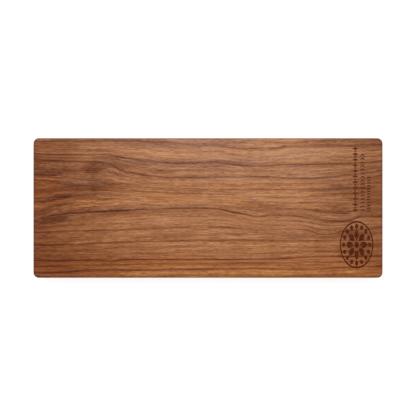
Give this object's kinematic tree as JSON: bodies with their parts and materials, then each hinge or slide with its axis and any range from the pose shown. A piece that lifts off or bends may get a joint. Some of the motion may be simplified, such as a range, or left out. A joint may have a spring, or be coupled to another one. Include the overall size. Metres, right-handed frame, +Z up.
{
  "type": "wrist rest",
  "caption": "Flat solid wood wrist rest board with rounded edges and an engraved end, standing on adhesive rubber feet.",
  "frame": {"origin": "middle of the footprint at desk level, where the feet's contact faces lie", "axes": "+X along the board towards its engraved end, +Y from the user towards the mouse or keyboard, +Z up"},
  "size_m": [0.2, 0.08, 0.018],
  "materials": {
    "walnut": "satin oiled walnut, long grain along X",
    "foot_rubber": "matt moulded",
    "foot_adhesive": "translucent acrylic adhesive"
  },
  "bodies": {
    "root": {"board": "walnut", "foot_front_left": "foot_rubber", "foot_front_right": "foot_rubber", "foot_rear_left": "foot_rubber", "foot_rear_right": "foot_rubber", "foot_adhesive_front_left": "foot_adhesive", "foot_adhesive_front_right": "foot_adhesive", "foot_adhesive_rear_left": "foot_adhesive", "foot_adhesive_rear_right": "foot_adhesive"}
  },
  "joints": []
}
